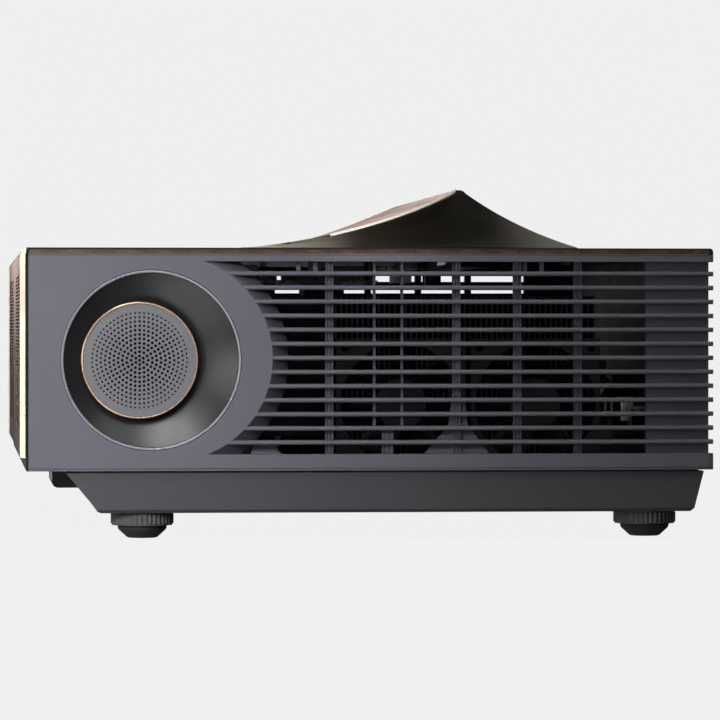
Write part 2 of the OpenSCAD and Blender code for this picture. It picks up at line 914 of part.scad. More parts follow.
module heat_sink() {
    color([0.13, 0.13, 0.14])
        union() {
            yz(178, fan_x - fan_t)
                union() {
                    translate([-16, 37.5])
                        square([145, 5]);
                    for (i = [0:48])
                        translate([-16 + i * 3, 42])
                            square([1, 91]);
                }
            // legs on the tray floor
            for (y = [-10, 115])
                box(182, 232, y, y + 8, tray_z0 + tray_t, 37.6);
            for (y = [20, 36])
                rod_x(4, 96, 190, y, 47);
        }
}

module heat_sink_right() { heat_sink(); }
module heat_sink_left() { other_side() heat_sink(); }

// ---------- electronics ----------

module main_board() {
    color([0.05, 0.2, 0.1])
        difference() {
            union() {
                box(-150, 150, -120, 16, 141, 142.6);
                box(-100, 100, -112, -39.5, 135, 141.1);
                // connector strip along one edge
                difference() {
                    box(130, 136, -112, 14, 142.5, 148.5);
                    box(129, 137, -41, -38.3, 143, 149);
                }
                for (y = [-100, -70, 0])
                    box(-136, -130, y, y + 14, 142.5, 147);
                for (x = [-143, 143])
                    for (y = [-115, 12])
                        rod_z(2.8, 142.5, deck_z0, x, y);
            }
            for (x = [-143, 143])
                for (y = [-115, 12])
                    rod_z(1.3, 140, 150, x, y);
        }
}

module power_board() {
    color([0.4, 0.3, 0.12])
        union() {
            box(-190, 190, -170, -76, 48, 49.6);
            for (x = [-180, 176])
                for (y = [-120, -90])
                    rod_z(3, tray_z0 + tray_t, 48.1, x, y);
            for (x = [-168, -140])
                rod_z(12, 49.5, 84, x, -150);
            box(-110, -66, -160, -110, 49.5, 88);
            box(-40, 0, -150, -112, 49.5, 80);
            for (x = [40, 66, 92])
                rod_z(8, 49.5, 78, x, -146);
            box(30, 110, -112, -104, 49.5, 90);
            box(130, 170, -150, -110, 49.5, 82);
        }
}

// ---------- optical engine ----------

module engine_housing() {
    color([0.3, 0.3, 0.31])
        difference() {
            union() {
                box(-60, 60, -20, 96, 56, 132);
                box(-20, 20, -16, 8, 131, 139.5);
                // cheeks beside the projection lens
                for (s = [-1, 1])
                    box(s * 52 - 8, s * 52 + 8, 95, 150, 56, 132);
                // stiffening ribs on the flanks
                for (s = [-1, 1])
                    for (y = [-14:18:130])
                        box(s * 61 - 1.5, s * 61 + 1.5, y, y + 3, 114, 130);
                box(-36, 36, 95, 166, 56, 80);
                box(-30, 30, 140, 166, 79, 98);
                for (x = [-52, 44])
                    for (y = [-12, 80])
                        box(x, x + 8, y, y + 8, tray_z0 + tray_t, 57);
            }
            // channel for the light on its way to the mirror
            yz(-32, 32)
                polygon([[98, 104], [98, 134], [56, 134]]);
            // seat of the projection lens and its focus motor
            on_lens() {
                cylinder(r = 28, h = 70);
                translate([30, 0, -17])
                    cylinder(r = 9.6, h = 40);
            }
        }
}

module laser_module() {
    color([0.1, 0.1, 0.11])
        union() {
            box(-96, 96, 12, 44, 43, 51);
            for (s = [-1, 1])
                difference() {
                    box(s * 79 - 15, s * 79 + 15, -70, 60, 52, 134.3);
                    // cooling grooves along the outer face
                    for (i = [0:14])
                        box(s * 95 - 5, s * 95 + 5, -71, 61, 57 + i * 5, 59.5 + i * 5);
                }
            box(-96, 96, 4, 60, 51, 52);
            for (x = [-80, 80])
                for (y = [-12, 54])
                    rod_z(3.5, tray_z0 + tray_t, 51.5, x, y);
        }
}

module on_lens() {
    translate([0, 150, 86.4])
        rotate([54, 0, 0])
            children();
}

module lens_barrel() {
    color([0.07, 0.07, 0.08])
        on_lens()
            difference() {
                union() {
                    cylinder(r = 26, h = 5);
                    cylinder(r = 20, h = 48);
                    translate([0, 0, 18.5])
                        cylinder(r = 22, h = 3);
                    // arm that carries the focus motor
                    box(18, 40, -7, 7, 5, 9);
                }
                translate([0, 0, -1])
                    cylinder(r = 17, h = 60);
                translate([0, 0, 44])
                    cylinder(r = 18.1, h = 10);
                translate([30, 0, -1])
                    cylinder(r = 9.3, h = 6);
                translate([30, 0, 4])
                    cylinder(r = 2.05, h = 10);
            }
}

module lens_front() {
    color([0.3, 0.4, 0.5, 0.5])
        on_lens()
            intersection() {
                translate([0, 0, 44])
                    cylinder(r = 18, h = 8);
                translate([0, 0, 49.5 - 48])
                    sphere(r = 48);
            }
}

module gear(teeth, bore, phase) {
    p = teeth / 2;
    step = 360 / teeth;
    difference() {
        polygon([for (i = [0:teeth - 1]) each [
            for (q = [[-0.34, -1.2], [-0.13, 0.75], [0.13, 0.75], [0.34, -1.2]])
                (p + q[1]) * [cos(phase + (i + q[0]) * step), sin(phase + (i + q[0]) * step)],
        ]]);
        circle(r = bore);
    }
}

module focus_ring() {
    color([0.15, 0.15, 0.16])
        on_lens()
            translate([0, 0, 11])
                linear_extrude(7)
                    gear(48, 20.06, 0);
}

module focus_pinion() {
    color([0.8, 0.78, 0.72])
        on_lens()
            translate([30, 0, 0])
                union() {
                    translate([0, 0, 12])
                        linear_extrude(5)
                            gear(12, 0.01, 15);
                    translate([0, 0, 2])
                        cylinder(r = 2, h = 11);
                }
}

module focus_motor() {
    color([0.6, 0.6, 0.62])
        on_lens()
            translate([30, 0, -16])
                difference() {
                    cylinder(r = 9, h = 20.9);
                    translate([0, 0, 17])
                        cylinder(r = 2.06, h = 10);
                }
}

module fold_mirror() {
    color([0.85, 0.87, 0.9])
        difference() {
            box(-62, 62, 33, 54, 150, 178);
            translate([0, 168, 166])
                sphere(r = 130, $fn = 128);
        }
}

module mirror_bracket() {
    color([0.25, 0.25, 0.26])
        union() {
            box(-66, 66, 29.6, 33, 148, 176);
            box(-90, 90, -5, 31, 151.5, deck_z0);
            // foot under the mirror
            box(-15, 15, 31, 40, 148, 149.9);
            box(-15, 15, 39, 49.5, 142.5, 149.9);
            for (x = [-60, -20, 20, 60])
                yz(x - 1.5, x + 1.5)
                    polygon([[18, 151.6], [30, 148], [30, 151.6]]);
        }
}
base_tray();
right_side_panel();
left_side_panel();
top_deck();
hump_slope();
hump_wing_right();
hump_wing_left();
hump_trims();
lens_scoop();
window_glass();
front_grille();
front_trims();
front_frame();
front_plate();
sensor_pod();
sensor_window();
rear_panel();
power_inlet();
hdmi_sockets();
usb_sockets();
lan_socket();
audio_sockets();
power_button();
speaker_bezels();
speaker_dish_right();
speaker_dish_left();
speaker_rims();
speaker_grille_right();
speaker_grille_left();
speaker_driver_right();
speaker_driver_left();
speaker_box_right();
speaker_box_left();
foot_wheel_front_right();
foot_wheel_front_left();
foot_wheel_rear_right();
foot_wheel_rear_left();
foot_pad_front_right();
foot_pad_front_left();
foot_pad_rear_right();
foot_pad_rear_left();
fan_frames();
fan_rotor_right_front();
fan_rotor_right_rear();
fan_rotor_left_front();
fan_rotor_left_rear();
heat_sink_right();
heat_sink_left();
main_board();
power_board();
engine_housing();
laser_module();
lens_barrel();
lens_front();
focus_ring();
focus_motor();
focus_pinion();
fold_mirror();
mirror_bracket();
screws();
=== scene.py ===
"""Looks for the home projector: materials, fine pieces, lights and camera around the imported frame.

Metres throughout, unless a name or a comment says mm. The front looks to -Y and the rear to +Y,
and the side that faces the camera is at +X.
"""

import json
import math

import bpy
import bmesh
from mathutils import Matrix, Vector


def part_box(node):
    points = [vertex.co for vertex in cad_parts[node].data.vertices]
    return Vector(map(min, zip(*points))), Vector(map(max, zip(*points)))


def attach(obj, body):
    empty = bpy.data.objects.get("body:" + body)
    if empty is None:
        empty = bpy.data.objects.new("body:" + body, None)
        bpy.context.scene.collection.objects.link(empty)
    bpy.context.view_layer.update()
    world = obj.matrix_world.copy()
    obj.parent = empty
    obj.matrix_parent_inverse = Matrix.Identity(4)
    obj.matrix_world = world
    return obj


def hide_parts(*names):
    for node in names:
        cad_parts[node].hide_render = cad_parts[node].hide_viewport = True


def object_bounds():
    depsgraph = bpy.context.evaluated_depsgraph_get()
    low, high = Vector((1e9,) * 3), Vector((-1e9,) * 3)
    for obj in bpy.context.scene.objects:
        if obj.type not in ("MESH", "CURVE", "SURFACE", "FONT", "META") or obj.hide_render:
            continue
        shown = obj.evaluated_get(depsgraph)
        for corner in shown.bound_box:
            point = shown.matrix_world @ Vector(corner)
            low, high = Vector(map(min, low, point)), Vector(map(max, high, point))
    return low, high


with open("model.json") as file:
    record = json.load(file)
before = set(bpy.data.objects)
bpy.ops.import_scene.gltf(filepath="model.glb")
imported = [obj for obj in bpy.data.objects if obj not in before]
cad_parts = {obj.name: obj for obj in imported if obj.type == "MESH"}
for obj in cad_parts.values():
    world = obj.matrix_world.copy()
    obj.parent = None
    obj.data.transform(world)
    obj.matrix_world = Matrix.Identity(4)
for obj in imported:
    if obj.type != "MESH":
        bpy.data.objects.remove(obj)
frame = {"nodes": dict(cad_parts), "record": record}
cad_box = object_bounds()
nodes = frame["nodes"]
MM = 0.001

# edges of the cabinet, read from the frame
HALF_W = cad_box[1][0]
FRONT, REAR = cad_box[0][1], cad_box[1][1]
DECK_LOW, DECK_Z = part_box("top_deck")[0][2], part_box("top_deck")[1][2]
PANEL_LOW, TRAY_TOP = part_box("right_side_panel")[0][2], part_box("base_tray")[1][2]


# ---------- node material helpers ----------

class Mat:
    """A node material with a Principled shader and short calls for its nodes."""

    def __init__(self, name, **sockets):
        self.material = bpy.data.materials.new(name)
        self.material.use_nodes = True
        self.tree = self.material.node_tree
        self.tree.nodes.clear()
        out = self.new("ShaderNodeOutputMaterial")
        self.shader = self.new("ShaderNodeBsdfPrincipled")
        self.link(self.shader.outputs[0], out.inputs[0])
        for key, value in sockets.items():
            level = (*value, 1.0) if isinstance(value, tuple) else value
            self.shader.inputs[key.replace("_", " ")].default_value = level

    def new(self, kind, **settings):
        node = self.tree.nodes.new(kind)
        for key, value in settings.items():
            setattr(node, key, value)
        return node

    def link(self, source, socket):
        self.tree.links.new(source, socket)

    def coords(self, scale=(1, 1, 1)):
        """Object coordinates in metres, stretched by scale."""
        mapping = self.new("ShaderNodeMapping")
        mapping.inputs["Scale"].default_value = scale
        self.link(self.new("ShaderNodeTexCoord").outputs["Object"], mapping.inputs["Vector"])
        return mapping.outputs[0]

    def axis(self, vector, name):
        """One axis of a vector."""
        split = self.new("ShaderNodeSeparateXYZ")
        self.link(vector, split.inputs[0])
        return split.outputs[name]

    def normal_x(self):
        """How far a face looks to the right, from -1 to 1."""
        return self.axis(self.new("ShaderNodeNewGeometry").outputs["Normal"], "X")

    def noise(self, scale, detail=4.0, rough=0.55, stretch=(1, 1, 1), distort=0.0):
        texture = self.new("ShaderNodeTexNoise")
        texture.inputs["Scale"].default_value = scale
        texture.inputs["Detail"].default_value = detail
        texture.inputs["Roughness"].default_value = rough
        texture.inputs["Distortion"].default_value = distort
        self.link(self.coords(stretch), texture.inputs["Vector"])
        return texture.outputs["Fac"]

    def ramp(self, factor, stops, interpolation="LINEAR"):
        """A fade through stops of (place, colour), where a plain number stands for a grey."""
        node = self.new("ShaderNodeValToRGB")
        node.color_ramp.interpolation = interpolation
        while len(node.color_ramp.elements) < len(stops):
            node.color_ramp.elements.new(0.5)
        for element, (place, colour) in zip(node.color_ramp.elements, stops):
            element.position = place
            element.color = (*colour, 1.0) if isinstance(colour, tuple) else (colour, colour, colour, 1.0)
        self.link(factor, node.inputs[0])
        return node.outputs[0]

    def fill(self, socket, value):
        """Set a socket to a number or a colour, or link it to another node's output."""
        if isinstance(value, (int, float)):
            socket.default_value = value
        elif isinstance(value, tuple):
            socket.default_value = (*value, 1.0)
        else:
            self.link(value, socket)

    def math(self, operation, a, b=0.0, clamp=False):
        node = self.new("ShaderNodeMath", operation=operation, use_clamp=clamp)
        self.fill(node.inputs[0], a)
        self.fill(node.inputs[1], b)
        return node.outputs[0]

    def mix(self, factor, a, b, blend="MIX"):
        """Colour a where factor is 0, colour b where it is 1."""
        node = self.new("ShaderNodeMix", data_type="RGBA", blend_type=blend)
        # sockets 6 and 7, and output 2, are the ones for colours
        for index, value in ((0, factor), (6, a), (7, b)):
            self.fill(node.inputs[index], value)
        return node.outputs[2]

    def rounded(self, radius):
        """Normals as they would be with every edge rounded to radius."""
        bevel = self.new("ShaderNodeBevel", samples=4)
        bevel.inputs["Radius"].default_value = radius
        return bevel.outputs[0]

    def edges(self, radius):
        """1 along edges, 0 on flats: how far a rounded normal leans from the true one."""
        dot = self.new("ShaderNodeVectorMath", operation="DOT_PRODUCT")
        self.link(self.rounded(radius), dot.inputs[0])
        self.link(self.new("ShaderNodeNewGeometry").outputs["Normal"], dot.inputs[1])
        return self.math("MULTIPLY", self.math("SUBTRACT", 1.0, dot.outputs["Value"]), 4.0, clamp=True)

    def away(self, gain):
        """How far a face looks away from the object's middle plane, times gain, held within 0 and 1."""
        lean = self.math("MULTIPLY", self.axis(self.coords(), "X"), self.normal_x())
        return self.math("MULTIPLY", lean, gain, clamp=True)

    def inward(self):
        """1 on faces that look across the object's middle plane, 0 on the others."""
        return self.away(-40.0)

    def outward(self):
        """1 on faces that look away from the object's middle plane, even if mostly upward."""
        return self.ramp(self.away(10.0), [(0.12, 0.0), (0.3, 1.0)])

    def sideways(self):
        """1 on faces that look to the left or right, 0 on those that look any other way."""
        return self.ramp(self.math("ABSOLUTE", self.normal_x()), [(0.45, 0.0), (0.85, 1.0)])

    def bump(self, height, strength, distance, radius=0.0):
        """Surface relief of that depth, over edges rounded to radius."""
        node = self.new("ShaderNodeBump")
        node.inputs["Strength"].default_value = strength
        node.inputs["Distance"].default_value = distance
        self.link(height, node.inputs["Height"])
        if radius:
            self.link(self.rounded(radius), node.inputs["Normal"])
        self.link(node.outputs[0], self.shader.inputs["Normal"])

    def colour(self, source):
        self.link(source, self.shader.inputs["Base Color"])

    def rough(self, source):
        self.link(source, self.shader.inputs["Roughness"])


def shade(colour, factor):
    """The colour made darker or paler by factor."""
    return tuple(min(1.0, level * factor) for level in colour)


# ---------- kinds of material ----------

def moulded(name, colour, rough, grain=0.35, size=2600, inner=None, **sockets):
    """Moulded plastic: fine spark-eroded grain, faint cloudy tone, paler worn edges.

    grain is how strong the texture is, and size how fine. Faces that look towards the middle of the object
    take the colour inner, where one is given, as painted shade."""
    edge = 0.0004
    m = Mat(name, **sockets)
    cloud = m.noise(9, 3, 0.5)
    base = m.ramp(cloud, [(0.3, shade(colour, 0.93)), (0.7, shade(colour, 1.07))])
    speck = m.noise(size * 0.5, 2, 0.6)
    base = m.mix(0.12, base, m.ramp(speck, [(0.35, shade(colour, 0.7)), (0.65, shade(colour, 1.3))]))
    scuff = m.math("MULTIPLY", m.edges(edge * 1.5), m.ramp(m.noise(60, 5, 0.7), [(0.4, 0.15), (0.7, 0.9)]))
    worn = m.mix(scuff, base, shade(colour, 1.35))
    # faces that look inward take the colour inner, which is painted shade
    m.colour(m.mix(m.inward(), worn, inner) if inner else worn)
    m.rough(m.ramp(m.noise(34, 6, 0.65), [(0.25, rough - 0.05), (0.75, rough + 0.07)]))
    m.bump(m.noise(size, 2, 0.5), grain, 0.00006, edge)
    return m.material


def metal(name, colour, rough, along=(1, 1, 1), line=900, strength=0.15, dark=0.8, edge=0.0003,
          flank=None, flat=None, **sockets):
    """Anodised or plated metal with fine brushed lines and small smudges in its gloss.

    The lines are stretched by along, line sets how fine they are, strength how raised, and dark is the
    shade of the dark ones. Faces that don't look to the left or right take the colour flank, where one is
    given, as painted shade, and faces that don't look away from the object's middle take the colour flat,
    where one is given, as painted shade on tops and inner faces."""
    m = Mat(name, **{"Metallic": 1.0, **sockets})
    lines = m.noise(line, 3, 0.6, stretch=along)
    base = m.ramp(lines, [(0.3, shade(colour, dark)), (0.7, shade(colour, 1.04))])
    worn = m.mix(m.edges(edge), base, shade(colour, 1.25))
    # flank and flat are painted shade laid over the metal's colour
    if flank:
        worn = m.mix(m.sideways(), flank, worn)
    if flat:
        worn = m.mix(m.outward(), flat, worn)
    m.colour(worn)
    m.rough(m.ramp(m.noise(45, 5, 0.6), [(0.3, max(0.03, rough - 0.06)), (0.75, rough + 0.08)]))
    m.bump(lines, strength, 0.00004, edge)
    return m.material


def walnut(name):
    """Walnut veneer: long growth bands and pores along X, dark figure and a satin lacquer."""
    m = Mat(name, Coat_Weight=0.4, Coat_Roughness=0.2, Specular_IOR_Level=0.35,
            Specular_Tint=(1.0, 0.85, 0.78))
    flow = m.noise(5.0, 3, 0.5, stretch=(0.35, 2.2, 2.2), distort=0.6)
    wave = m.new("ShaderNodeTexWave", wave_type="BANDS", bands_direction="Y", wave_profile="SIN")
    wave.inputs["Scale"].default_value = 15.0
    wave.inputs["Distortion"].default_value = 7.0
    wave.inputs["Detail"].default_value = 5.0
    wave.inputs["Detail Scale"].default_value = 1.4
    m.link(m.coords((0.22, 1.0, 1.0)), wave.inputs["Vector"])
    bands = m.math("ADD", m.math("MULTIPLY", wave.outputs["Fac"], 0.55), m.math("MULTIPLY", flow, 0.5))
    base = m.ramp(bands, [(0.15, (0.022, 0.013, 0.012)), (0.42, (0.050, 0.030, 0.026)),
                          (0.62, (0.082, 0.051, 0.043)), (0.9, (0.128, 0.082, 0.068))])
    fibre = m.noise(420, 4, 0.7, stretch=(0.035, 1, 1))
    base = m.mix(0.55, base, m.ramp(fibre, [(0.32, (0.016, 0.010, 0.009)), (0.62, (0.118, 0.078, 0.066))]))
    pores = m.ramp(m.noise(1500, 2, 0.5, stretch=(0.02, 1, 1)), [(0.3, 0.0), (0.37, 1.0)])
    m.colour(m.mix(pores, (0.008, 0.004, 0.003), base))
    m.rough(m.ramp(fibre, [(0.3, 0.34), (0.7, 0.5)]))
    m.bump(m.mix(0.5, pores, fibre), 0.3, 0.00012, 0.0005)
    return m.material


def orange_peel(m):
    """The faint waves that a sprayed lacquer dries with."""
    m.bump(m.noise(160, 2, 0.4), 0.05, 0.0001, 0.0005)


def gloss(name, colour):
    """Lacquered gloss plastic with a hint of orange peel and fine dust in the coat."""
    m = Mat(name, Coat_Weight=0.7, Coat_Roughness=0.04)
    m.colour(m.ramp(m.noise(14, 3, 0.5), [(0.3, shade(colour, 0.8)), (0.7, shade(colour, 1.25))]))
    m.rough(m.ramp(m.noise(700, 4, 0.7), [(0.35, 0.08), (0.8, 0.2)]))
    orange_peel(m)
    return m.material


def lacquer_with_painted_reflection(name, last, stops):
    """Satin lacquer whose colour fades along Y through stops of (y in mm, colour), towards last in mm; the
    fade is a painted reflection.
    """
    first = stops[0][0]
    m = Mat(name, Coat_Weight=0.25, Coat_Roughness=0.12, Specular_IOR_Level=0.15)
    behind = m.math("SUBTRACT", m.axis(m.coords(), "Y"), first * MM)
    along = m.math("DIVIDE", behind, (last - first) * MM, clamp=True)
    # this fade along y is a painted reflection, not a real change of colour
    fade = m.ramp(along, [((y - first) / (last - first), colour) for y, colour in stops], "B_SPLINE")
    cloud = m.ramp(m.noise(14, 3, 0.5), [(0.3, 0.9), (0.7, 1.0)])
    m.colour(m.mix(1.0, fade, cloud, "MULTIPLY"))
    m.rough(m.ramp(m.noise(700, 4, 0.7), [(0.35, 0.3), (0.8, 0.42)]))
    orange_peel(m)
    return m.material


def rubber(name, colour):
    """Matt rubber with a coarse grain and a patchy tone."""
    m = Mat(name)
    m.colour(m.ramp(m.noise(80, 5, 0.6), [(0.3, shade(colour, 0.7)), (0.7, shade(colour, 1.5))]))
    m.rough(m.ramp(m.noise(300, 4, 0.6), [(0.3, 0.62), (0.7, 0.82)]))
    m.bump(m.noise(1800, 3, 0.6), 0.35, 0.0001, 0.0004)
    return m.material


def board(name):
    """Solder mask over copper tracks, which show as paler lines, with raised dark components."""
    m = Mat(name, Coat_Weight=0.3)
    brick = m.new("ShaderNodeTexBrick")
    brick.inputs["Scale"].default_value = 60.0
    brick.inputs["Mortar Size"].default_value = 0.06
    brick.inputs["Color1"].default_value = (0.012, 0.05, 0.028, 1)
    brick.inputs["Color2"].default_value = (0.016, 0.06, 0.032, 1)
    brick.inputs["Mortar"].default_value = (0.04, 0.12, 0.06, 1)
    m.link(m.coords(), brick.inputs["Vector"])
    parts = m.ramp(m.noise(120, 2, 0.5), [(0.52, 0.0), (0.56, 1.0)])
    m.colour(m.mix(parts, brick.outputs["Color"], (0.02, 0.02, 0.022)))
    m.rough(m.ramp(m.noise(200, 3, 0.5), [(0.3, 0.3), (0.7, 0.5)]))
    m.bump(parts, 0.5, 0.0004)
    return m.material


def coated_glass(name, tint):
    """Tinted glass with a bluish coating and faint smears in its gloss."""
    m = Mat(name, Transmission_Weight=0.85, IOR=1.5, Coat_Weight=0.6, Coat_Tint=(0.75, 0.85, 1.0))
    m.colour(m.ramp(m.noise(20, 3, 0.5), [(0.3, shade(tint, 0.9)), (0.7, shade(tint, 1.1))]))
    m.rough(m.ramp(m.noise(90, 5, 0.7), [(0.4, 0.02), (0.8, 0.07)]))
    m.bump(m.noise(30, 2, 0.5), 0.02, 0.0001)
    return m.material


# ---------- the object's finishes ----------

FINISH = {}


def finish(slot, kind, *values, **settings):
    """Make a material of that kind for a slot of the record."""
    FINISH[slot] = kind(slot, *values, **settings)


# shell
# the panels' inner faces are painted near black, painted shade for the dark inside
finish("side_plastic", moulded, (0.146, 0.143, 0.172), 0.46, inner=(0.006, 0.006, 0.007),
       Specular_IOR_Level=0.4)
finish("base_plastic", moulded, (0.088, 0.086, 0.096), 0.5, 0.5, 1900)
finish("walnut", walnut)
# painted reflection: the wings are painted paler at their front and rear ends and nearly black below the
# ridge, in place of the room mirrored in their lacquer
finish("piano_brown", lacquer_with_painted_reflection, 115, [
    (-70, (0.150, 0.138, 0.104)),
    (-40, (0.120, 0.108, 0.078)),
    (-20, (0.036, 0.031, 0.023)),
    (-4, (0.0035, 0.0030, 0.0022)),
    (66, (0.0016, 0.0013, 0.0011)),
    (84, (0.0075, 0.0066, 0.0056)),
    (108, (0.034, 0.031, 0.027)),
])
finish("champagne_metal", metal, (1.0, 0.87, 0.62), 0.28, (1, 1, 0.05), 1200, 0.05, 0.95, Metallic=0.55)
finish("rose_metal", metal, (0.150, 0.110, 0.097), 0.6, (1, 1, 1), 1500, 0.1, 0.95, Metallic=0.1,
       Specular_IOR_Level=0.1)
finish("black_plastic", moulded, (0.011, 0.011, 0.012), 0.5, 0.3, 2200)
finish("window_glass", coated_glass, (0.2, 0.25, 0.3))
finish("ir_window", gloss, (0.03, 0.002, 0.004))
finish("socket_metal", metal, (0.6, 0.6, 0.61), 0.3)

# speakers
finish("silver_ring", metal, (0.60, 0.61, 0.64), 0.3, (1, 1, 1), 1400, 0.01, 0.96, 0.0001, Metallic=0.6)
finish("dish_plastic", moulded, (0.013, 0.0135, 0.015), 0.34, 0.12, 3200, Specular_IOR_Level=0.9)
# the ring's walls that face the dish take flank, a painted contact shadow
finish("copper_ring", metal, (0.80, 0.52, 0.36), 0.22, (1, 1, 1), 1500, 0.06,
       flank=(0.03, 0.02, 0.016), Metallic=0.8)
finish("speaker_metal", metal, (0.27, 0.274, 0.292), 0.45, (1, 1, 1), 2500, 0.3, Metallic=0.45)
finish("driver_black", moulded, (0.012, 0.012, 0.014), 0.7, 0.5, 1500)

# feet
finish("foot_plastic", moulded, (0.115, 0.113, 0.122), 0.42, 0.3, 2400)
finish("foot_rubber", rubber, (0.030, 0.030, 0.031))

# inside; the heat sinks, the engine and the laser block are near black, painted shade for the dark inside
finish("sink_metal", metal, (0.020, 0.020, 0.022), 0.5, (0.05, 1, 1), 900, 0.2, Metallic=0.3)
finish("board_green", board)
finish("engine_metal", metal, (0.032, 0.032, 0.035), 0.5, (1, 1, 1), 700, 0.4, Metallic=0.3)
finish("laser_block", metal, (0.020, 0.020, 0.022), 0.5, (1, 1, 1), 800, 0.2, Metallic=0.3)
finish("lens_glass", coated_glass, (0.35, 0.5, 0.65))
finish("mirror_face", metal, (0.9, 0.91, 0.93), 0.04, (1, 1, 1), 300, 0.01, 0.98)
finish("steel_bracket", metal, (0.25, 0.25, 0.26), 0.4, (0.06, 1, 1), 900, 0.2)
finish("screw_steel", metal, (0.2, 0.2, 0.21), 0.35, (1, 1, 1), 1500, 0.2)

# the trims beside the hump catch less light than the front ones, so their metal is painted paler as
# painted light, and their tops and inner faces are painted dark as painted shade
HUMP_TRIM = metal("champagne_painted_light_and_shade", (1.0, 0.93, 0.82), 0.4, (0.05, 1, 1), 1200, 0.05, 0.95,
                  flat=(0.20, 0.15, 0.12), Metallic=0.05)

for part in frame["record"]["subparts"]:
    mesh = nodes[part["node"]].data
    mesh.materials.clear()
    mesh.materials.append(HUMP_TRIM if part["node"] == "hump_trims" else FINISH[part["material_slot"]])


def add_mesh(name, bm, material):
    mesh = bpy.data.meshes.new(name)
    bm.to_mesh(mesh)
    bm.free()
    mesh.materials.append(material)
    piece = bpy.data.objects.new(name, mesh)
    bpy.context.scene.collection.objects.link(piece)
    return piece


# ---------- hump wings as smooth lacquered mouldings ----------

HUMP_Y0, HUMP_Y1 = -0.070, 0.1147     # front and rear end of the hump
RIDGE_Y, RIDGE_Z = 0.057, 0.1935      # front edge of its ridge
RIDGE_FLAT = 0.003                    # depth of the level strip on the ridge
SLOPE_R, REAR_R = 0.366, 0.174        # radius of the front slope and of the rear one
TURN_Y, TURN_IN = 0.058, 0.088        # where a wing's inner edge is furthest in, and how far
TRIM_Y, TRIM_END_Y = -0.021, 0.059    # where the bright trim starts and ends
TRIM_SHOWS, TRIM_GROWS = 0.0011, 0.012    # height of trim above the wing, and how soon it is reached
WING_LIFT, WING_SINK = 0.0002, 0.0001     # a wing's thin edge above the deck, its underside below it
REAR_LIP = 0.0003                     # height of the rear slope's end above the deck
WING_EDGE = 0.0014                    # least width of a wing
SOFT_REACH = 0.026                    # stretch over which the crease under the ridge is smoothed


def arc(a, b, radius):
    """Height over y of the sagging arc of that radius from a to b."""
    mid, gap = (a + b) / 2, b - a
    rise = math.sqrt(radius ** 2 - (gap.length / 2) ** 2) / gap.length
    cy, cz = mid.x - gap.y * rise, mid.y + gap.x * rise
    return lambda y: cz - math.sqrt(radius ** 2 - (y - cy) ** 2)


slope_at = arc(Vector((HUMP_Y0, DECK_Z)), Vector((RIDGE_Y, RIDGE_Z)), SLOPE_R)
rear_at = arc(Vector((RIDGE_Y + RIDGE_FLAT, RIDGE_Z)), Vector((HUMP_Y1, DECK_Z + REAR_LIP)), REAR_R)


def crest(y):
    """Plan position and height of the wing's inner edge."""
    if y < TURN_Y:
        share = (y - HUMP_Y0) / (TURN_Y - HUMP_Y0)
        inset = TURN_IN * (0.6 * share ** 6 + 0.4 * share ** 2)
    else:
        inset = TURN_IN * (1 - (y - TURN_Y) / (HUMP_Y1 - TURN_Y))
    z = slope_at(y) if y < RIDGE_Y else RIDGE_Z if y < RIDGE_Y + RIDGE_FLAT else rear_at(y)
    return HALF_W - max(WING_EDGE, inset), max(z, DECK_Z + WING_LIFT)


def softened(y, reach):
    """Crest averaged over a stretch of the ridge, so the flank below it has no crease."""
    steps = 12
    offsets = [2 * i / steps - 1 for i in range(steps + 1)]
    weights = [1 - abs(offset) * 0.9 for offset in offsets]
    found = [crest(min(max(y + reach * offset, HUMP_Y0), HUMP_Y1)) for offset in offsets]
    total = sum(weights)
    return tuple(sum(w * f[k] for w, f in zip(weights, found)) / total for k in (0, 1))


def trim_show(y):
    """How far the wing's edge stands below the bright trim, which shows above it."""
    if y >= TRIM_END_Y:
        return 0.0
    return TRIM_SHOWS * min(1.0, max(0.0, (y - TRIM_Y + TRIM_GROWS) / TRIM_GROWS))


def wing(side):
    """One wing, as a grid of points from its crest out to the cabinet's side, with a flat underside."""
    front_steps, rear_steps, across = 96, 42, 28
    bm = bmesh.new()
    ys = [HUMP_Y0 + (TURN_Y - HUMP_Y0) * i / front_steps for i in range(front_steps + 1)]
    ys += [TURN_Y + (HUMP_Y1 - TURN_Y) * i / rear_steps for i in range(1, rear_steps + 1)]
    base = DECK_Z + WING_LIFT
    rows = []
    for y in ys:
        room = min(SOFT_REACH, y - HUMP_Y0, HUMP_Y1 - y)
        row = []
        for j in range(across + 1):
            t = j / across
            x0, z0 = softened(y, room * min(1.0, 3 * t))
            rise = max(0.0, z0 - trim_show(y) - base)
            row.append(bm.verts.new((side * (x0 + (HALF_W - x0) * t), y, base + rise * (1 - t) ** 1.2)))
        rows.append(row)
    under = DECK_Z - WING_SINK
    low = [[bm.verts.new((v.co.x, v.co.y, under)) for v in (row[0], row[-1])] for row in rows]
    for a, b in zip(rows, rows[1:]):
        for j in range(across):
            bm.faces.new((a[j], b[j], b[j + 1], a[j + 1])).smooth = True
    for i in range(len(ys) - 1):
        bm.faces.new((low[i][0], low[i + 1][0], rows[i + 1][0], rows[i][0]))
        bm.faces.new((low[i][1], rows[i][-1], rows[i + 1][-1], low[i + 1][1]))
        bm.faces.new((low[i][0], low[i][1], low[i + 1][1], low[i + 1][0]))
    for i in (0, -1):
        bm.faces.new(rows[i] + [low[i][1], low[i][0]])
    bmesh.ops.recalc_face_normals(bm, faces=bm.faces)
    name = "right" if side > 0 else "left"
    piece = add_mesh("wing_skin_" + name, bm, FINISH["piano_brown"])
    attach(piece, "cabinet")
    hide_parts("hump_wing_" + name)


wing(1)
wing(-1)


# ---------- thin edge lines of the cabinet ----------

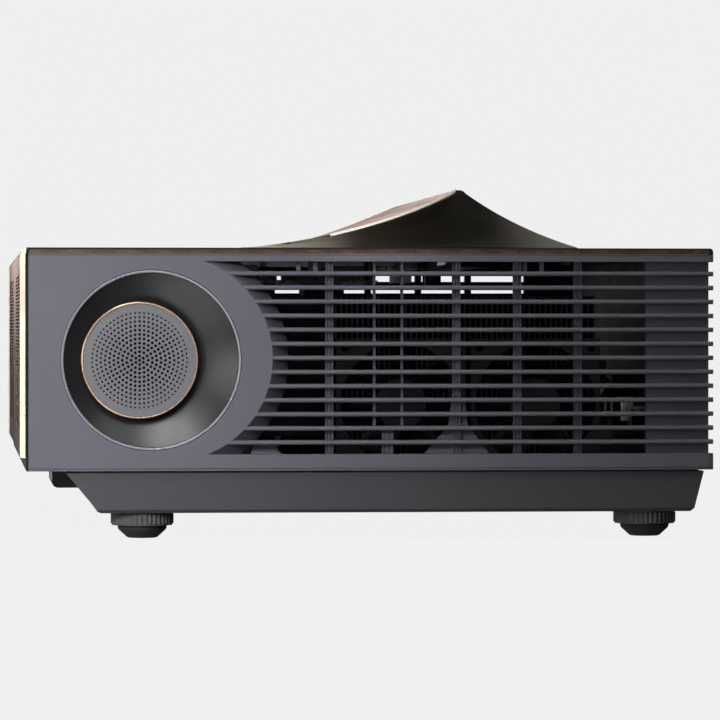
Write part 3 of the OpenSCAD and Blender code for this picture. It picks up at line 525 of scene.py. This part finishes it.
def prism(name, outline, x0, x1, slot):
    """A bar along X from x0 to x1 with that outline in (y, z)."""
    bm = bmesh.new()
    ends = [[bm.verts.new((x, y, z)) for y, z in outline] for x in (x0, x1)]
    bm.faces.new(ends[0])
    bm.faces.new(ends[1])
    for k in range(len(outline)):
        bm.faces.new((ends[0][k - 1], ends[0][k], ends[1][k], ends[1][k - 1]))
    bmesh.ops.recalc_face_normals(bm, faces=bm.faces)
    piece = add_mesh(name, bm, FINISH[slot])
    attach(piece, "cabinet")


def both_ends(name, slot, inner, outer, *points):
    """A bar at the right end of the cabinet and, mirrored, one at the left end.

    It reaches from inner mm inside the side plane to outer mm outside it. Its outline has points
    of (edge, mm behind it, level, mm above it)."""
    outline = [(edge + behind * MM, level + above * MM) for edge, behind, level, above in points]
    near, far = HALF_W - inner * MM, HALF_W + outer * MM
    prism(name + "_right", outline, near, far, slot)
    prism(name + "_left", outline, -far, -near, slot)


# bright cap that carries the front trim over the deck's bevel
both_ends("bevel_cap", "champagne_metal", 6.0, 0.15,
          (FRONT, 0.3, DECK_LOW, -0.2), (FRONT, 0.7, DECK_Z, -2.2), (FRONT, 2.9, DECK_Z, 0.1),
          (FRONT, 3.6, DECK_Z, 0.1), (FRONT, 3.4, DECK_LOW, -0.2))
# black strip as painted shadow in the step under the deck's top face, turning down behind the cap
both_ends("deck_painted_shadow_line", "black_plastic", 0.6, 0.1,
          (FRONT, 3.6, DECK_LOW, 0.0), (FRONT, 3.6, DECK_Z, -0.8), (FRONT, 4.4, DECK_Z, 0.0),
          (REAR, -2.4, DECK_Z, 0.0), (REAR, -1.0, DECK_Z, -0.8), (FRONT, 6.2, DECK_Z, -1.1),
          (FRONT, 5.2, DECK_Z, -1.8), (FRONT, 5.0, DECK_LOW, 0.0))
# pale strip between the deck and the panel below it, a painted highlight along the panel's top edge
both_ends("panel_painted_highlight", "rose_metal", 0.6, 0.1,
          (FRONT, 5.0, DECK_LOW, -1.0), (FRONT, 5.0, DECK_LOW, 0.2),
          (REAR, -3.0, DECK_LOW, 0.2), (REAR, -3.0, DECK_LOW, -1.0))
# gasket that closes the joint between the panels and the tray
both_ends("base_gasket", "foot_rubber", 5.5, -3.8,
          (FRONT, 25.6, TRAY_TOP, -1.2), (FRONT, 25.4, PANEL_LOW, 0.1),
          (REAR, -5.0, PANEL_LOW, 0.1), (REAR, -5.2, TRAY_TOP, -1.2))


# ---------- stage ----------

def glowing(name, glow, albedo):
    """Pale stage paint that is mostly even light, with a little diffuse to take soft shadows."""
    m = bpy.data.materials.new(name)
    m.use_nodes = True
    shader = m.node_tree.nodes["Principled BSDF"]
    shader.inputs["Base Color"].default_value = (albedo, albedo, albedo, 1)
    shader.inputs["Specular IOR Level"].default_value = 0.0
    shader.inputs["Roughness"].default_value = 1.0
    shader.inputs["Emission Color"].default_value = (1, 1, 1, 1)
    shader.inputs["Emission Strength"].default_value = glow
    return m


def stage_bowl():
    """A pale round floor that curves up into a wall all the way round the object."""
    flat, bend, top = 5.0, 1.5, 8.0
    turns, bend_steps = 96, 12
    angles = [math.pi / 2 * i / bend_steps for i in range(1, bend_steps + 1)]
    profile = [(flat, 0.0)]
    profile += [(flat + bend * math.sin(a), bend - bend * math.cos(a)) for a in angles]
    profile += [(flat + bend, top)]
    around = [2 * math.pi * k / turns for k in range(turns)]
    bm = bmesh.new()
    rings = [[bm.verts.new((r * math.cos(a), r * math.sin(a), z)) for a in around] for r, z in profile]
    bm.faces.new(rings[0])
    for low, high in zip(rings, rings[1:]):
        for k in range(turns):
            after = (k + 1) % turns
            bm.faces.new((low[k], low[after], high[after], high[k])).smooth = True
    bowl = add_mesh("floor", bm, glowing("floor", 0.862, 0.008))
    bowl.visible_diffuse = False
    bowl.visible_glossy = False
    bowl.visible_shadow = False
    return bowl


stage_bowl()


# ---------- light ----------

def sky():
    """Dim room light: a pale band at the horizon, strongest beyond the far side and the front."""
    world = bpy.data.worlds.new("world")
    world.use_nodes = True
    tree = world.node_tree
    coord = tree.nodes.new("ShaderNodeTexCoord")
    split = tree.nodes.new("ShaderNodeSeparateXYZ")
    tree.links.new(coord.outputs["Generated"], split.inputs[0])

    def graded(axis, stops):
        """Grey over one axis of the view direction, with stops from 0 for -1 to 1 for +1."""
        lift = tree.nodes.new("ShaderNodeMath")
        lift.operation = "MULTIPLY_ADD"
        lift.inputs[1].default_value = 0.5
        lift.inputs[2].default_value = 0.5
        ramp = tree.nodes.new("ShaderNodeValToRGB")
        tree.links.new(split.outputs[axis], lift.inputs[0])
        tree.links.new(lift.outputs[0], ramp.inputs[0])
        for element, (place, grey) in zip(ramp.color_ramp.elements, (stops[0], stops[-1])):
            element.position, element.color = place, (grey, grey, grey, 1)
        for place, grey in stops[1:-1]:
            ramp.color_ramp.elements.new(place).color = (grey, grey, grey, 1)
        return ramp.outputs[0]

    def product(a, b):
        both = tree.nodes.new("ShaderNodeMix")
        both.data_type = "RGBA"
        both.blend_type = "MULTIPLY"
        both.inputs[0].default_value = 1.0
        tree.links.new(a, both.inputs[6])
        tree.links.new(b, both.inputs[7])
        return both.outputs[2]

    height = graded("Z", [(0.1, 0.3), (0.49, 0.35), (0.505, 1.0), (0.545, 0.9), (0.58, 0.25),
                          (0.7, 0.1), (0.85, 0.02)])
    across = graded("X", [(0.0, 1.0), (0.45, 0.8), (0.62, 0.35), (1.0, 0.25)])
    depth = graded("Y", [(0.0, 1.0), (0.55, 0.9), (0.75, 0.25), (1.0, 0.12)])
    background = tree.nodes["Background"]
    tree.links.new(product(product(height, across), depth), background.inputs[0])
    background.inputs[1].default_value = 0.8
    bpy.context.scene.world = world


def hang(data, where, target):
    """A lamp at where that shines towards target."""
    lamp = bpy.data.objects.new(data.name, data)
    lamp.location = where
    lamp.rotation_euler = (Vector(target) - Vector(where)).to_track_quat("-Z", "Y").to_euler()
    bpy.context.scene.collection.objects.link(lamp)
    return lamp


def spot(name, where, target, cone, power, soft, stretch=1.0):
    """A soft cone of light, cone degrees wide, that fades out from its middle to its edge.

    It never shows in reflections, and stretch widens it sideways."""
    data = bpy.data.lights.new(name, "SPOT")
    data.energy = power
    data.spot_size = math.radians(cone)
    data.spot_blend = 1.0
    data.shadow_soft_size = soft
    lamp = hang(data, where, target)
    lamp.scale = (stretch, 1.0, 1.0)
    lamp.visible_glossy = False


def area(name, where, target, size, power, glossy=True, diffuse=True):
    """A soft rectangular lamp, which may show in reflections only or never in them."""
    data = bpy.data.lights.new(name, "AREA")
    data.shape = "RECTANGLE"
    data.size, data.size_y = size
    data.energy = power
    lamp = hang(data, where, target)
    lamp.visible_camera = False
    lamp.visible_glossy = glossy
    lamp.visible_diffuse = diffuse


SPEAKER_SIDE = (HALF_W, -0.12, 0.1)    # a place on the near side, behind the speaker

sky()

# light on the near side, the front and the hump
spot("key", (1.5, -0.62, 0.45), (HALF_W, -0.335, 0.11), 38, 68.0, 0.12)
spot("front", (0.0, -0.9, 0.55), (0.0, -0.19, 0.365), 38, 330.0, 0.03, stretch=2.0)
spot("hump", (0.1, -0.5, 1.3), (0.15, 0.0, 0.17), 24, 210.0, 0.05)
spot("trim", (1.4, -0.3, 0.5), (0.22, 0.012, 0.18), 5, 42.0, 0.02)

# soft light and reflections on the near side
area("upper_card", (1.15, -0.35, 1.1), SPEAKER_SIDE, (0.6, 0.6), 4.6)
area("left_card", (0.95, -0.85, 0.2), SPEAKER_SIDE, (0.4, 0.4), 1.2)
area("left_shine", (0.95, -0.85, 0.2), SPEAKER_SIDE, (0.5, 0.4), 1.2, diffuse=False)
area("low_shine", (0.95, -0.45, -0.5), (HALF_W, -0.12, 0.14), (0.7, 0.7), 1.8, diffuse=False)
area("end_shine", (3.3, -0.25, 0.12), (HALF_W, -0.19, 0.12), (0.5, 0.5), 3.4, diffuse=False)
area("overhead", (0.35, -0.25, 1.2), (HALF_W, -0.1, 0.1), (1.0, 0.9), 3.2, glossy=False)
area("dish_shine", (1.25, -0.3, 1.0), SPEAKER_SIDE, (0.6, 0.6), 4.0, diffuse=False)
area("glint", (0.9, 0.3, 0.75), SPEAKER_SIDE, (0.15, 0.15), 0.4)

# fill light for the sides that the camera doesn't face
area("top", (-0.4, -0.1, 1.6), (-0.1, 0.0, 0.1), (1.2, 1.2), 8.0, glossy=False)
area("rear", (-0.3, 1.2, 0.8), (0.0, 0.19, 0.1), (0.8, 0.5), 14.0, glossy=False)
area("far_side", (-1.5, 0.1, 0.5), (-HALF_W, 0.0, 0.1), (0.8, 0.5), 4.0, glossy=False)


# ---------- camera ----------

CAMERA_AWAY = 2.374                        # from the near side plane
CAMERA_Y, CAMERA_Z = -0.2229, 0.1146
AIM_Y, AIM_Z = -0.0052, 0.0978             # where the middle of the view meets the near side
SENSOR_MM, LENS_MM = 36.0, 218.3

camera_data = bpy.data.cameras.new("camera")
camera_data.sensor_width = SENSOR_MM
camera_data.lens = LENS_MM
camera_data.clip_start = 0.01
camera = bpy.data.objects.new("camera", camera_data)
camera.location = (HALF_W + CAMERA_AWAY, CAMERA_Y, CAMERA_Z)
aim = Vector((HALF_W, AIM_Y, AIM_Z))
camera.rotation_euler = (aim - camera.location).to_track_quat("-Z", "Y").to_euler()
bpy.context.scene.collection.objects.link(camera)
bpy.context.scene.camera = camera
bpy.context.scene.view_settings.view_transform = "Standard"
